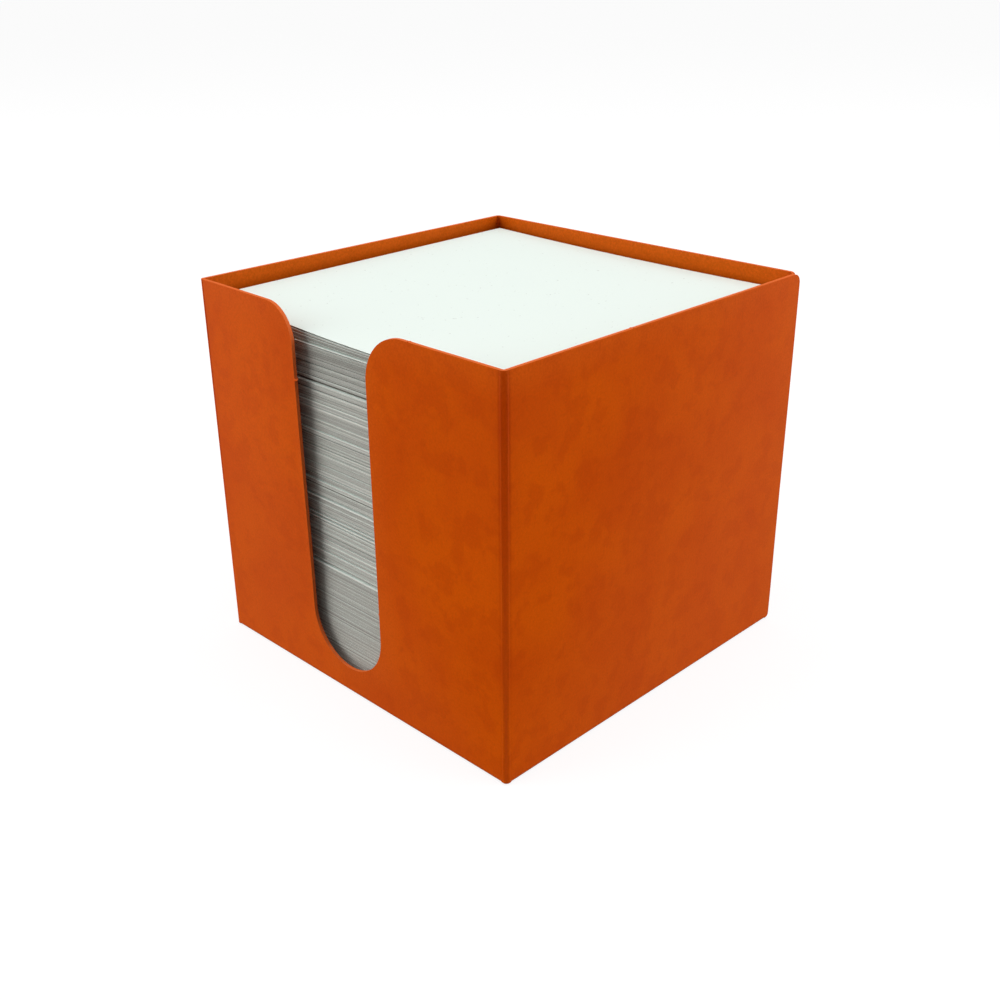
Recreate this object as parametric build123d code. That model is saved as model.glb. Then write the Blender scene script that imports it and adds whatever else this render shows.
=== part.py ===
from build123d import *
import os
from math import radians, tan

# Memo cube holder: an open-topped cube folded from one die-cut blank of pressboard and
# filled with loose memo leaves. The blank is drawn panel by panel, and the panels part
# along the middle of each crease, where the flat blank turns.
# Frame: the origin is on the desk under the middle of the holder, +Z is up, the finger
# slot faces -Y, and the glued seam is at the rear of the +X wall. Sizes in millimetres.

# Loose leaves
leaf_width = 90.0
leaf_depth = 90.0
leaf_thickness = 0.1

# Pressboard, and the glue between two layers of it
board = 0.8
glue_film = 0.1
crease_inner_radius = 0.15

# Room around the pile of leaves, which lies nearer to the right and rear walls
left_play = 1.85
right_play = 0.65
front_play = 2.1
rear_play = 1.3

# Rim, and how far below it the top leaf lies at its front and rear edges
rim_height = 88.5
front_drop = 6.2
rear_drop = 3.9

# Finger slot in the front wall
slot_width = 23.2
slot_shift = -2.2
slot_floor = 6.5
left_mouth_radius = 8.0
right_mouth_radius = 11.0

# Rounded corners of the cut edges at the seam
free_top_radius = 2.3
free_foot_radius = 1.0
seam_top_radius = 0.8

# Glue flap inside the right wall
flap_width = 15.0
flap_end_gap = 3.0
flap_taper = 15.0

# Base panel, and the three tabs turned in under it
base_play = 0.6
tab_reach = 18.0
tab_taper = 45.0
tab_end_gap = 0.5

# Strips of glue
glue_width = 8.0
glue_end_gap = 4.0

# Shares of the pile's height at which the leaves part, as the slot shows them
pile_breaks = [0.0, 0.332, 0.475, 0.54, 0.871, 0.976, 1.0]

# Overall width and depth follow from the leaves, their room and the layers of board
flap_layers = board + glue_film
width = leaf_width + left_play + right_play + 2 * board + flap_layers
depth = leaf_depth + front_play + rear_play + 2 * board
half_width = width / 2
half_depth = depth / 2

# The seam is the outer face of the flap, one glue film inside the right wall
seam_x = half_width - board - glue_film
flap_inner_x = seam_x - board

# The crease at the foot of a wall runs at half a board, and the corners end there
crease_level = board / 2

# Heights of the layers in the base
fold = board + crease_inner_radius
base_level = board + glue_film
base_top = base_level + board

# Ends of the base panel between the left wall and the flap, and ends of the tabs
base_left = -half_width + board + base_play
base_right = flap_inner_x - base_play
base_reach = depth - board - base_play
tab_half_width = half_width - fold - tab_end_gap
tab_half_depth = half_depth - fold - tab_end_gap


def bend(center_x, center_y, start_angle, sweep):
    """Face of one bend of the board: the sector between its inner and outer radius."""
    center = (center_x, center_y)
    outer = CenterArc(center, fold, start_angle, sweep)
    inner = CenterArc(center, crease_inner_radius, start_angle, sweep)
    sides = [Line(outer @ 0, inner @ 0), Line(outer @ 1, inner @ 1)]
    return make_face([outer, inner] + sides)


def turned(solid, angle):
    """The solid, drawn as part of the front, turned about Z to its own side."""
    return Rot(0, 0, angle) * solid


def rectangle(x_low, x_high, y_low, y_high):
    """Rectangle between two corners."""
    center = Pos((x_low + x_high) / 2, (y_low + y_high) / 2)
    return center * Rectangle(x_high - x_low, y_high - y_low)


def wall(start, end, offset, outline, fold_at_start=True, fold_at_end=True):
    """Upright panel from start to end along X, outer face at y = -offset.

    Each folded end has half of its crease, up to the mitre. The outline is the
    panel's elevation.
    """
    plate_start = start + fold if fold_at_start else start
    plate_end = end - fold if fold_at_end else end
    plan = rectangle(plate_start, plate_end, -offset, -offset + board)
    if fold_at_start:
        plan += bend(plate_start, -offset + fold, 225, 45)
    if fold_at_end:
        plan += bend(plate_end, -offset + fold, 270, 45)
    upright = extrude(plan, rim_height)
    front_plane = Plane(origin=(0, -offset, 0), x_dir=(1, 0, 0), z_dir=(0, -1, 0))
    return upright & extrude(front_plane * outline, 2 * fold, both=True)


def elevation(start, end, foot_start, foot_end, foot_height):
    """Elevation of a wall, cut away above the fold of the panel at its foot."""
    foot = rectangle(foot_start, foot_end, 0, foot_height)
    return rectangle(start, end, crease_level, rim_height) - foot


def hinged_panel(start, end, offset, level, reach, taper=0.0):
    """Flat panel turned in from the foot of a wall, with the bend that joins them."""
    flat = rectangle(-offset + fold, -offset + reach, level, level + board)
    side = bend(-offset + fold, level + fold, 180, 90) + flat
    side_plane = Plane(origin=(start, 0, 0), x_dir=(0, 1, 0), z_dir=(1, 0, 0))
    panel = extrude(side_plane * side, end - start)
    inset = (reach - fold) * tan(radians(taper))
    plan = make_face(
        Polyline(
            (start, -offset),
            (end, -offset),
            (end, -offset + fold),
            (end - inset, -offset + reach),
            (start + inset, -offset + reach),
            (start, -offset + fold),
            close=True,
        )
    )
    return panel & extrude(plan, level + 2 * fold)


def slot_outline():
    """Finger slot: straight sides, round floor, and a mouth rounded into the rim."""
    left = slot_shift - slot_width / 2
    right = slot_shift + slot_width / 2
    floor_radius = slot_width / 2
    floor_center = slot_floor + floor_radius
    rim_left = left - left_mouth_radius
    rim_right = right + right_mouth_radius
    left_mouth = rim_height - left_mouth_radius
    right_mouth = rim_height - right_mouth_radius
    return make_face(
        [
            CenterArc((rim_left, left_mouth), left_mouth_radius, 0, 90),
            Line((left, left_mouth), (left, floor_center)),
            CenterArc((slot_shift, floor_center), floor_radius, 180, 180),
            Line((right, floor_center), (right, right_mouth)),
            CenterArc((rim_right, right_mouth), right_mouth_radius, 90, 90),
            Line((rim_left, rim_height), (rim_right, rim_height)),
        ]
    )


def rounded(outline, corner_x, corner_z, radius):
    """The elevation with the corner nearest to a point rounded."""
    corner = outline.vertices().sort_by_distance((corner_x, corner_z, 0))[0]
    return fillet(corner, radius)


def front_wall():
    outline = elevation(
        -half_width, half_width, -tab_half_width, tab_half_width, fold
    )
    return wall(-half_width, half_width, half_depth, outline - slot_outline())


def right_wall():
    outline = elevation(
        -half_depth, half_depth, -tab_half_depth, tab_half_depth, fold
    )
    outline = rounded(outline, half_depth, rim_height, free_top_radius)
    outline = rounded(outline, half_depth, crease_level, free_foot_radius)
    solid = wall(-half_depth, half_depth, half_width, outline, fold_at_end=False)
    return turned(solid, 90)


def rear_wall():
    outline = elevation(
        -seam_x, half_width, -base_right, -base_left, base_level + fold
    )
    outline = rounded(outline, -seam_x, rim_height, seam_top_radius)
    return turned(wall(-seam_x, half_width, half_depth, outline), 180)


def left_wall():
    outline = elevation(
        -half_depth, half_depth, -tab_half_depth, tab_half_depth, fold
    )
    return turned(wall(-half_depth, half_depth, half_width, outline), 270)


def side_glue_flap():
    start = half_depth - flap_width
    low = base_top + flap_end_gap
    high = rim_height - flap_end_gap
    inset = (flap_width - fold) * tan(radians(flap_taper))
    outline = make_face(
        Polyline(
            (start, low + inset),
            (half_depth - fold, low),
            (half_depth, low),
            (half_depth, high),
            (half_depth - fold, high),
            (start, high - inset),
            close=True,
        )
    )
    solid = wall(start, half_depth, seam_x, outline, fold_at_start=False)
    return turned(solid, 90)


def side_seam_glue():
    middle = half_depth - (flap_width + fold) / 2
    inset = (flap_width - fold) * tan(radians(flap_taper))
    low = base_top + flap_end_gap + inset + glue_end_gap
    high = rim_height - flap_end_gap - inset - glue_end_gap
    strip = rectangle(middle - glue_width / 2, middle + glue_width / 2, low, high)
    face_plane = Plane(origin=(seam_x, 0, 0), x_dir=(0, 1, 0), z_dir=(1, 0, 0))
    return extrude(face_plane * strip, glue_film)


def base_panel():
    solid = hinged_panel(
        -base_right, -base_left, half_depth, base_level, base_reach
    )
    return turned(solid, 180)


def base_tab(half_length, offset, angle):
    solid = hinged_panel(-half_length, half_length, offset, 0, tab_reach, tab_taper)
    return turned(solid, angle)


def tab_glue(half_length, offset, angle):
    """Strip of glue on a base tab, under the base panel."""
    middle = -offset + (tab_reach + fold) / 2
    inset = (tab_reach - fold) * tan(radians(tab_taper))
    half_strip = half_length - inset - glue_end_gap
    strip = rectangle(
        -half_strip, half_strip, middle - glue_width / 2, middle + glue_width / 2
    )
    return turned(Pos(0, 0, board) * extrude(strip, glue_film), angle)


def slab(front_low, rear_low, front_high, rear_high):
    """Leaves between two levels, each given at the front and rear edge."""
    left = -half_width + board + left_play
    front = -half_depth + board + front_play
    rear = front + leaf_depth
    side = make_face(
        Polyline(
            (front, front_low),
            (rear, rear_low),
            (rear, rear_high),
            (front, front_high),
            close=True,
        )
    )
    side_plane = Plane(origin=(left, 0, 0), x_dir=(0, 1, 0), z_dir=(1, 0, 0))
    return extrude(side_plane * side, leaf_width)


# Levels of the pile under the top leaf
front_top = rim_height - front_drop
rear_top = rim_height - rear_drop
front_pile = front_top - leaf_thickness - base_top
rear_pile = rear_top - leaf_thickness - base_top


def leaf_packet(low, high):
    """Packet of leaves between two shares of the pile's height."""
    return slab(
        base_top + low * front_pile,
        base_top + low * rear_pile,
        base_top + high * front_pile,
        base_top + high * rear_pile,
    )


def top_leaf():
    return slab(
        front_top - leaf_thickness, rear_top - leaf_thickness, front_top, rear_top
    )


nodes = {
    "front_wall": front_wall(),
    "right_wall": right_wall(),
    "left_wall": left_wall(),
    "rear_wall": rear_wall(),
    "side_glue_flap": side_glue_flap(),
    "side_seam_glue": side_seam_glue(),
    "base_panel": base_panel(),
    "front_base_tab": base_tab(tab_half_width, half_depth, 0),
    "right_base_tab": base_tab(tab_half_depth, half_width, 90),
    "left_base_tab": base_tab(tab_half_depth, half_width, 270),
    "front_tab_glue": tab_glue(tab_half_width, half_depth, 0),
    "right_tab_glue": tab_glue(tab_half_depth, half_width, 90),
    "left_tab_glue": tab_glue(tab_half_depth, half_width, 270),
    "top_leaf": top_leaf(),
}
for number, (low, high) in enumerate(zip(pile_breaks, pile_breaks[1:]), start=1):
    nodes[f"leaf_packet_{number}"] = leaf_packet(low, high)

os.makedirs("parts", exist_ok=True)
for name, solid in nodes.items():
    export_step(solid, f"parts/{name}.step")
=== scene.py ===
from math import cos, hypot, pi, radians, sin, tan
import bmesh
import bpy
from mathutils import Matrix, Vector, noise


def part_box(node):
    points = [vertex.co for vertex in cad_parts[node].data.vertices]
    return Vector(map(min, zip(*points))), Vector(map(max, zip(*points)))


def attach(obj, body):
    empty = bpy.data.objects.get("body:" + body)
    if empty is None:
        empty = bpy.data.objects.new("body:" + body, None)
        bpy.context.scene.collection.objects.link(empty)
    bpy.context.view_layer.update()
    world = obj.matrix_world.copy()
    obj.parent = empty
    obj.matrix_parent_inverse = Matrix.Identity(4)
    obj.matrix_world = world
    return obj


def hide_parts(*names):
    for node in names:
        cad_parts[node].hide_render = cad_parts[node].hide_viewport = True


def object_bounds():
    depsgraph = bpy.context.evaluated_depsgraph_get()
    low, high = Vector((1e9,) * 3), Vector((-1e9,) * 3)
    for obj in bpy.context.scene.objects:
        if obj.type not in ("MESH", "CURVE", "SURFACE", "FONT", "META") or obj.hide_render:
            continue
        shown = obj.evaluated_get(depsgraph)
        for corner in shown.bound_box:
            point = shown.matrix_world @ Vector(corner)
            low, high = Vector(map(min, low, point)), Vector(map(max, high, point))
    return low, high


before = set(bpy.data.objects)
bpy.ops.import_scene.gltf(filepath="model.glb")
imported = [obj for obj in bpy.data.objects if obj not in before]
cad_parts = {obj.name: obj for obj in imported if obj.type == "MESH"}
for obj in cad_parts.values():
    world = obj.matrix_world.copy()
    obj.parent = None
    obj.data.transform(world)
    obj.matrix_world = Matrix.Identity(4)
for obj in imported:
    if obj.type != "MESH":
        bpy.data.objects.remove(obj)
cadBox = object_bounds()
lowCorner, highCorner = (Vector(corner) for corner in cadBox)

mm = 0.001

# The view of the photograph. It fits the holder's outline, its near rims and the slot's edges
view = {
    "place": (188.037 * mm, -190.81 * mm, 155.676 * mm),
    "turn": (65.471, 0.413, 44.497),
    "lens": 43.778,
    "nearest": 10 * mm,
    "furthest": 60.0,
}


def placeCamera():
    data = bpy.data.cameras.new("studioCamera")
    data.lens = view["lens"]
    data.clip_start = view["nearest"]
    data.clip_end = view["furthest"]
    camera = bpy.data.objects.new("studioCamera", data)
    camera.location = view["place"]
    camera.rotation_euler = [radians(angle) for angle in view["turn"]]
    bpy.context.scene.collection.objects.link(camera)
    bpy.context.scene.camera = camera


placeCamera()
print("camera placed")


def smooth(low, high, value):
    share = min(max((value - low) / (high - low), 0.0), 1.0)
    return share * share * (3 - 2 * share)


def linear(red, green, blue):  # a colour as a paint program shows it, 0 to 255
    parts = [part / 255 for part in (red, green, blue)]
    return [p / 12.92 if p <= 0.04045 else ((p + 0.055) / 1.055) ** 2.4 for p in parts] + [1.0]


def addNode(tree, kind, inputs=None, **settings):
    node = tree.nodes.new(kind)
    for name, value in settings.items():
        setattr(node, name, value)
    for key, value in (inputs or {}).items():
        join(tree, value, node.inputs[key])
    return node


def join(tree, value, socket):  # a link from a socket, or a plain value
    if isinstance(value, bpy.types.NodeSocket):
        tree.links.new(value, socket)
    else:
        socket.default_value = value


def calc(tree, operation, *values):
    node = tree.nodes.new("ShaderNodeMath")
    node.operation = operation
    for socket, value in zip(node.inputs, values):
        join(tree, value, socket)
    return node.outputs[0]


def blendColour(tree, share, first, second):
    node = addNode(tree, "ShaderNodeMix", data_type="RGBA")
    join(tree, share, node.inputs[0])
    join(tree, first, node.inputs[6])
    join(tree, second, node.inputs[7])
    return node.outputs[2]


def tint(tree, colour, where, share, other):  # lays the other colour over this one, by where times share
    return blendColour(tree, calc(tree, "MULTIPLY", where, share), colour, other)


def rescale(tree, value, fromLow, fromHigh, toLow=0.0, toHigh=1.0, curve="LINEAR"):
    inputs = {"Value": value, "From Min": fromLow, "From Max": fromHigh, "To Min": toLow, "To Max": toHigh}
    return addNode(tree, "ShaderNodeMapRange", inputs, interpolation_type=curve).outputs[0]


socketKinds = {int: "NodeSocketInt", float: "NodeSocketFloat", tuple: "NodeSocketVector"}


def newGroup(name, kind, takes, gives):  # an input is given by its value, or by its kind if it has none
    group = bpy.data.node_groups.new(name, kind)
    for label, value in takes.items():
        socketKind = socketKinds.get(type(value), value)
        socket = group.interface.new_socket(label, in_out="INPUT", socket_type=socketKind)
        if socketKind != value:
            socket.default_value = value
    for label, socketKind in gives.items():
        group.interface.new_socket(label, in_out="OUTPUT", socket_type=socketKind)
    return group, group.nodes.new("NodeGroupInput").outputs, group.nodes.new("NodeGroupOutput").inputs


# Effects that several materials share

# The noise keeps near its middle, so it is spread from these ranges. The fades are soft borders
fibreShape = {"cloudRange": (0.3, 0.7), "grainRange": (0.25, 0.75), "blotchFade": 0.16, "fleckFade": 0.05}


def makeFibreGroup():
    takes = {
        "Place": "NodeSocketVector",
        "Cloud Size": 28 * mm,
        "Blotch Size": 9 * mm,
        "Blotch Rarity": 0.58,
        "Grain Size": 0.5 * mm,
        "Fleck Size": 1.6 * mm,
        "Fleck Rarity": 0.7,
    }
    gives = dict.fromkeys(("Clouds", "Blotches", "Grain", "Flecks"), "NodeSocketFloat")
    group, takes, gives = newGroup("fibreMottle", "ShaderNodeTree", takes, gives)

    def patches(size, detail, roughness, shift):
        moved = addNode(group, "ShaderNodeVectorMath", {0: takes["Place"], 1: shift}, operation="ADD")
        scale = calc(group, "DIVIDE", 1.0, size)
        inputs = {"Vector": moved.outputs[0], "Scale": scale, "Detail": detail, "Roughness": roughness}
        return addNode(group, "ShaderNodeTexNoise", inputs).outputs["Fac"]

    # The shifts keep the four patterns apart
    clouds = patches(takes["Cloud Size"], 3.0, 0.55, (0.31, 0.12, 0.73))
    blotches = patches(takes["Blotch Size"], 2.0, 0.5, (0.77, 0.41, 0.05))
    grain = patches(takes["Grain Size"], 3.0, 0.65, (0.15, 0.92, 0.38))
    flecks = patches(takes["Fleck Size"], 1.0, 0.4, (0.52, 0.27, 0.66))
    rarer = calc(group, "ADD", takes["Blotch Rarity"], fibreShape["blotchFade"])
    rarest = calc(group, "ADD", takes["Fleck Rarity"], fibreShape["fleckFade"])
    clouds = rescale(group, clouds, *fibreShape["cloudRange"], curve="SMOOTHSTEP")
    blotches = rescale(group, blotches, takes["Blotch Rarity"], rarer, curve="SMOOTHSTEP")
    grain = rescale(group, grain, *fibreShape["grainRange"])
    flecks = rescale(group, flecks, takes["Fleck Rarity"], rarest, curve="SMOOTHSTEP")
    for value, socket in zip((clouds, blotches, grain, flecks), gives):
        join(group, value, socket)
    return group


fibreMottle = makeFibreGroup()


def startMaterial(name, roughness, shine=0.5):
    material = bpy.data.materials.new(name)
    material.use_nodes = True
    tree = material.node_tree
    tree.nodes.clear()
    shader = tree.nodes.new("ShaderNodeBsdfPrincipled")
    shader.inputs["Roughness"].default_value = roughness
    shader.inputs["Specular IOR Level"].default_value = shine
    output = tree.nodes.new("ShaderNodeOutputMaterial")
    tree.links.new(shader.outputs[0], output.inputs["Surface"])
    return material, tree, shader


def fibreNode(tree, sizes):
    place = tree.nodes.new("ShaderNodeTexCoord").outputs["Object"]
    node = addNode(tree, "ShaderNodeGroup", node_tree=fibreMottle)
    join(tree, place, node.inputs["Place"])
    for label, value in sizes.items():
        node.inputs[label].default_value = value
    return node.outputs


def attribute(tree, name):
    return addNode(tree, "ShaderNodeAttribute", attribute_name=name).outputs["Fac"]


def addBump(tree, shader, height, distance):
    bump = addNode(tree, "ShaderNodeBump", {"Height": height, "Distance": distance})
    tree.links.new(bump.outputs[0], shader.inputs["Normal"])


boardFinish = {
    "bright": linear(231, 93, 0),
    "deep": linear(221, 83, 0),
    "blotch": linear(206, 71, 0),
    "fleck": linear(176, 60, 0),
    "inner": linear(184, 82, 0),  # painted shade: the board's inner faces are painted darker, for the shade inside the box
    "worn": linear(232, 102, 24),
    "sheen": linear(253, 113, 58),  # seen at a low angle
    "sheenShare": 0.25,
    "sheenRange": (0.40, 0.54),  # how far the board turns away while the sheen grows
    "blotchShare": 0.32,
    "fleckShare": 0.06,
    "innerShadeShare": 0.85,
    "innerShadeRange": (0.8, 1.0),  # depth in the board, where 1 is its inner face
    "wornShare": (0.1, 0.5),  # of a cut's border, where the grain is low and where it is high
    "wornRange": (0.2, 0.8),
    "grainTone": (0.92, 1.08),
    "shine": 0.04,
    "roughness": (0.52, 0.40),  # in a dark cloud, and in a bright one
    "grainHeight": 0.012 * mm,
    "fibre": {"Cloud Size": 20 * mm, "Blotch Size": 4.5 * mm, "Blotch Rarity": 0.48,
              "Fleck Size": 1.1 * mm, "Fleck Rarity": 0.6},
}

# A crease darkens the board beside it in a band with a wandering edge, and has two thin scored lines. The
# band and the lines are partly the pressed board's own colour and partly painted shade, and they fade towards
# the foot.
# Between the lines, the bend of an upright crease is painted lighter, as painted light against its shade.
# Reaches are in bend lengths, half a crease, from its middle
creaseMarksShadeAndLight = {
    # the band and the scored lines: partly the pressed board's own colour, partly painted shade
    "dark": linear(168, 44, 0),
    "paintedBendLightHigh": linear(238, 82, 0),  # painted light on the bend of an upright crease, near the rim, and near the foot
    "paintedBendLightLow": linear(252, 100, 20),
    "paintedBendLightReach": 0.9,
    "bandRange": (1.3, 3.9),
    "bandShare": 0.52,
    "scoreAt": 0.6,
    "scoreReach": 0.5,
    "scoreShare": 0.12,
    "wander": 0.25,
    "wanderSize": 1.6 * mm,
    "grain": (0.92, 1.06),
    "footMark": 0.12,  # how much of the marks and of the scores is left at the foot
    "footScore": 0.3,
    "baseMark": 0.5,  # how much of the marks the folds at the foot have
    "clean": 4.0,  # beyond this the board is as it was
}


def markCrease(tree, colour, grain):
    look = creaseMarksShadeAndLight
    place = tree.nodes.new("ShaderNodeTexCoord").outputs["Object"]
    inputs = {"Vector": place, "Scale": 1 / look["wanderSize"], "Detail": 3.0}
    wander = addNode(tree, "ShaderNodeTexNoise", inputs).outputs["Fac"]
    wander = rescale(tree, wander, *fibreShape["cloudRange"], -look["wander"], look["wander"])
    gap = attribute(tree, "foldGap")
    # Painted shade, partly the pressed board's own colour: a darker band beside the crease and two darker
    # scored lines, fading towards the foot
    band = rescale(tree, calc(tree, "ADD", gap, wander), *look["bandRange"], look["bandShare"], 0.0,
                   curve="SMOOTHSTEP")
    line = calc(tree, "ABSOLUTE", calc(tree, "SUBTRACT", gap, look["scoreAt"]))
    line = rescale(tree, line, 0.0, look["scoreReach"], look["scoreShare"], 0.0, curve="SMOOTHSTEP")
    mark = attribute(tree, "foldMark")
    uneven = rescale(tree, grain, 0, 1, *look["grain"])
    share = calc(tree, "MULTIPLY", calc(tree, "ADD", band, line), uneven)
    colour = tint(tree, colour, share, mark, look["dark"])
    # Painted light: the bend of an upright crease is painted lighter, most near the foot, to offset its shade
    paintedBendLight = blendColour(tree, mark, look["paintedBendLightLow"], look["paintedBendLightHigh"])
    core = rescale(tree, gap, 0.0, look["paintedBendLightReach"], 1.0, 0.0, curve="SMOOTHSTEP")
    return tint(tree, colour, core, attribute(tree, "upright"), paintedBendLight)


def makeBoardMaterial():
    look = boardFinish
    rough, glossy = look["roughness"]
    material, tree, shader = startMaterial("clothPressedBoard", rough, look["shine"])
    fibre = fibreNode(tree, look["fibre"])
    grain = fibre["Grain"]
    lighter = rescale(tree, grain, 0.0, 1.0, *look["grainTone"])
    colour = blendColour(tree, fibre["Clouds"], look["deep"], look["bright"])
    colour = tint(tree, colour, fibre["Blotches"], look["blotchShare"], look["blotch"])
    colour = tint(tree, colour, fibre["Flecks"], look["fleckShare"], look["fleck"])
    # Painted shade: towards its inner face the board is painted in the darker inner colour
    innerShadeShare = rescale(tree, attribute(tree, "ply"), *look["innerShadeRange"], 0.0, look["innerShadeShare"])
    colour = blendColour(tree, innerShadeShare, colour, look["inner"])
    colour = markCrease(tree, colour, grain)
    wornShare = rescale(tree, grain, *look["wornRange"], *look["wornShare"])
    colour = tint(tree, colour, attribute(tree, "edge"), wornShare, look["worn"])
    facing = addNode(tree, "ShaderNodeLayerWeight", {"Blend": 0.5}).outputs["Facing"]
    sheenShare = rescale(tree, facing, *look["sheenRange"], 0.0, look["sheenShare"], curve="SMOOTHSTEP")
    colour = blendColour(tree, sheenShare, colour, look["sheen"])
    tone = addNode(tree, "ShaderNodeHueSaturation", {"Value": lighter, "Color": colour})
    tree.links.new(tone.outputs[0], shader.inputs["Base Color"])
    tree.links.new(rescale(tree, fibre["Clouds"], 0.0, 1.0, rough, glossy), shader.inputs["Roughness"])
    addBump(tree, shader, grain, look["grainHeight"])
    return material


cutFinish = {
    "light": linear(240, 122, 64),
    "dark": linear(212, 92, 38),
    "roughness": 0.85,
    "shine": 0.04,
    "fibre": {"Grain Size": 0.16 * mm},
    "grainHeight": 0.03 * mm,
    "layerScale": 9.0,  # layers of fibre through the board's thickness
}


def makeCutMaterial():
    material, tree, shader = startMaterial("dieCutBoard", cutFinish["roughness"], cutFinish["shine"])
    fibre = fibreNode(tree, cutFinish["fibre"])
    inputs = {"W": attribute(tree, "ply"), "Scale": cutFinish["layerScale"], "Detail": 2.0}
    layers = addNode(tree, "ShaderNodeTexNoise", inputs, noise_dimensions="1D").outputs["Fac"]
    mixed = calc(tree, "MULTIPLY", calc(tree, "ADD", layers, fibre["Grain"]), 0.5)
    colour = blendColour(tree, mixed, cutFinish["dark"], cutFinish["light"])
    tree.links.new(colour, shader.inputs["Base Color"])
    addBump(tree, shader, mixed, cutFinish["grainHeight"])
    return material


paperFinish = {
    "face": linear(240, 249, 243),
    "faceShade": linear(233, 243, 236),
    "fleck": linear(176, 180, 172),
    "edgeLight": linear(241, 240, 231),
    # the leaves' edges are the same paper painted darker, down to this colour: painted shade between the
    # leaves
    "edgeShade": linear(84, 80, 73),
    "roughness": 0.8,
    "shine": 0.2,
    "grainShare": 0.14,  # of the tone, and the rest is each leaf's own
    "cloudLow": 0.6,
    "fleckShare": 0.5,
    "grainHeight": 0.006 * mm,
    "fibre": {"Cloud Size": 16 * mm, "Grain Size": 0.3 * mm, "Fleck Size": 0.7 * mm, "Fleck Rarity": 0.74},
}


def makePaperMaterial(name, light, dark):
    look = paperFinish
    material, tree, shader = startMaterial(name, look["roughness"], look["shine"])
    fibre = fibreNode(tree, look["fibre"])
    share = rescale(tree, fibre["Clouds"], 0, 1, look["cloudLow"], 1.0)
    share = calc(tree, "MULTIPLY", calc(tree, "MULTIPLY", fibre["Grain"], share), look["grainShare"])
    # Each leaf's stored tone: a part that differs at random, with painted shade and painted highlight at
    # grooves, gaps and lips
    leafToneShadeAndHighlight = calc(tree, "MULTIPLY", attribute(tree, "leafToneShadeAndHighlight"), 1 - look["grainShare"])
    colour = blendColour(tree, calc(tree, "ADD", share, leafToneShadeAndHighlight), light, dark)
    colour = tint(tree, colour, fibre["Flecks"], look["fleckShare"], look["fleck"])
    tree.links.new(colour, shader.inputs["Base Color"])
    addBump(tree, shader, fibre["Grain"], look["grainHeight"])
    return material


glueFinish = {
    "clear": linear(226, 214, 180),
    "milky": linear(240, 234, 214),
    "roughness": 0.35,
    "fibre": {"Cloud Size": 5 * mm, "Grain Size": 0.8 * mm},
    "grainHeight": 0.01 * mm,
}


def makeGlueMaterial():
    material, tree, shader = startMaterial("driedGlue", glueFinish["roughness"])
    fibre = fibreNode(tree, glueFinish["fibre"])
    colour = blendColour(tree, fibre["Clouds"], glueFinish["clear"], glueFinish["milky"])
    tree.links.new(colour, shader.inputs["Base Color"])
    addBump(tree, shader, fibre["Grain"], glueFinish["grainHeight"])
    return material


boardMaterial = makeBoardMaterial()
cutMaterial = makeCutMaterial()
paperMaterial = makePaperMaterial("memoPaper", paperFinish["face"], paperFinish["faceShade"])
# Painted shade: the edge material is the paper in a darker range, for the shade between the leaves
paperEdgeShadedMaterial = makePaperMaterial("memoPaperEdgeShaded", paperFinish["edgeLight"], paperFinish["edgeShade"])
glueMaterial = makeGlueMaterial()
print("materials made")


# The blank of board. Each panel is cut flat, with its places as along, up and depth from the outer
# face, and is then folded into its place on the cube

blank = {
    "board": 0.8 * mm,
    "innerRadius": 0.15 * mm,
    "bendSteps": 8,  # faces across half of a crease
    "gridStep": 6 * mm,
    "gridClear": 0.8 * mm,  # room between a grid line and a line that the outline needs
    "cutRound": 0.1 * mm,  # softness of a die-cut edge
    "roundSteps": 2,
    "edgeBand": 0.5 * mm,  # worn band along a cut
    "scoreDepth": 0.05 * mm,
    "scoreWidth": 0.3 * mm,
    "scoreGrid": (0.35, 0.7, 1.05, 1.6, 3.0),  # lines across a score, in its widths
    "scoreBorder": 4,  # the even grid starts beyond this
    "nickWidth": 0.25 * mm,
    "nickTaper": 0.6,  # how much of its height a nick loses through the board
    "waveLength": 34 * mm,
    "waveHeight": 0.12 * mm,
    "waveHold": 12 * mm,  # distance from a fold over which the wave grows
    "sharpAngle": 50,
}
board = blank["board"]
outerRadius = board + blank["innerRadius"]
bendLength = (outerRadius - board / 2) * pi / 4  # half of a crease, along the middle of the board
spare = 1 * mm  # the flat outline runs past a crease by this, and is trimmed there
tiny = 0.001 * mm
halfWidth, halfDepth, rimHeight = highCorner
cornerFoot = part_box("left_wall")[0].z
boardMaterials = (boardMaterial, cutMaterial)


def arc(along, up, radius, fromAngle, toAngle, steps):
    angles = [radians(fromAngle + (toAngle - fromAngle) * step / steps) for step in range(steps + 1)]
    return [(along + radius * cos(angle), up + radius * sin(angle)) for angle in angles]


def evenLines(low, high, clearOf=()):
    count = max(1, round((high - low) / blank["gridStep"]))
    lines = [low + (high - low) * number / count for number in range(1, count)]
    return [line for line in lines if all(abs(line - value) > blank["gridClear"] for value in clearOf)]


def scoreLines(edge, inward):  # across the scored border of a crease
    return [edge + inward * blank["scoreWidth"] * part for part in blank["scoreGrid"]]


def bendLines(crease, inward, length):  # across the bend itself, from the line where it starts
    steps = blank["bendSteps"]
    return [crease + inward * length * step / steps for step in range(1, steps + 1)]


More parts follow.
